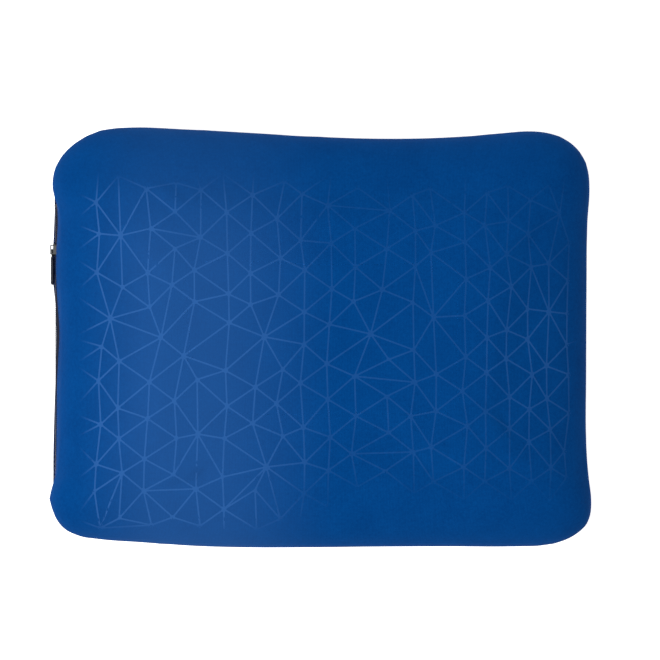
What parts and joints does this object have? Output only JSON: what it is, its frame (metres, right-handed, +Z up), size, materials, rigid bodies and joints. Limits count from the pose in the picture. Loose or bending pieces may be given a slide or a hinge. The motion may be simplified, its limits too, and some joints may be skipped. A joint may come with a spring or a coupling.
{
  "type": "self-inflating camp pillow",
  "caption": "Zipped knit pillow cover over a welded air bladder with a bored foam core and a two-stage valve on the underside.",
  "frame": {"origin": "middle of the footprint's box, on the plane the underside rests on", "axes": "+X along the long side away from the zip, +Y from the neck edge to the head edge, +Z up out of the sleeping face"},
  "size_m": [0.42, 0.326, 0.11],
  "materials": {
    "cover_knit": "brushed knit face with an embossed line pattern, matt",
    "base_knit": "brushed knit, dark navy, matt",
    "zip_tape": "woven tape, matt",
    "binding_tape": "folded woven binding, stitched",
    "zip_coil": "moulded nylon, slightly shiny",
    "zip_metal": "baked enamel, satin black",
    "zip_grip": "soft moulded, matt",
    "bladder_film": "coated polyester, weldable inner face, low sheen",
    "foam": "open-cell foam",
    "valve_hard": "moulded, fine satin",
    "valve_soft": "moulded flexible polymer, matt",
    "valve_button": "moulded, light grey"
  },
  "bodies": {
    "cushion": {"cover_top_panel": "cover_knit", "cover_base_panel": "base_knit", "valve_window_binding": "binding_tape", "zip_tape_upper": "zip_tape", "zip_tape_lower": "zip_tape", "zip_coil_upper": "zip_coil", "zip_coil_lower": "zip_coil", "zip_start_stop": "zip_metal", "zip_end_stops": "zip_metal", "bladder_top_skin": "bladder_film", "bladder_base_skin": "bladder_film", "foam_core": "foam", "valve_weld_flange": "valve_hard", "valve_tether_ring": "valve_soft", "valve_plug_strap": "valve_soft"},
    "slider": {"zip_slider": "zip_metal"},
    "pull": {"zip_pull_link": "zip_metal", "zip_pull_grip": "zip_grip"},
    "plug": {"valve_deflate_plug": "valve_hard", "valve_cap_strap": "valve_soft"},
    "flap": {"valve_check_flap": "valve_soft", "valve_release_button": "valve_button"},
    "cap": {"valve_inflate_cap": "valve_hard"}
  },
  "joints": [
    {"name": "zip_slide", "type": "slide", "parent": "cushion", "child": "slider", "axis": [0, -1, 0], "range_m": [-0.0275, 0.1699], "deforming": ["zip_coil_upper", "zip_coil_lower"]},
    {"name": "pull_swing", "type": "hinge", "parent": "slider", "child": "pull", "pos_m": [-0.2084, 0.0677, 0.051], "axis": [0, 0, -1], "range_deg": [0, 175]},
    {"name": "plug_hinge", "type": "hinge", "parent": "cushion", "child": "plug", "pos_m": [0.16231, -0.0454, 0.01205], "axis": [-0.951, 0, -0.3091], "range_deg": [0, 110], "deforming": ["valve_plug_strap"]},
    {"name": "cap_hinge", "type": "hinge", "parent": "plug", "child": "cap", "pos_m": [0.16302, -0.016, 0.00986], "axis": [0.951, 0, 0.3091], "range_deg": [0, 150], "deforming": ["valve_cap_strap"]},
    {"name": "release_press", "type": "slide", "parent": "plug", "child": "flap", "axis": [-0.3091, 0, 0.951], "range_m": [0, 0.002], "stiffness_N_per_m": 200, "springref_m": -0.0005}
  ]
}
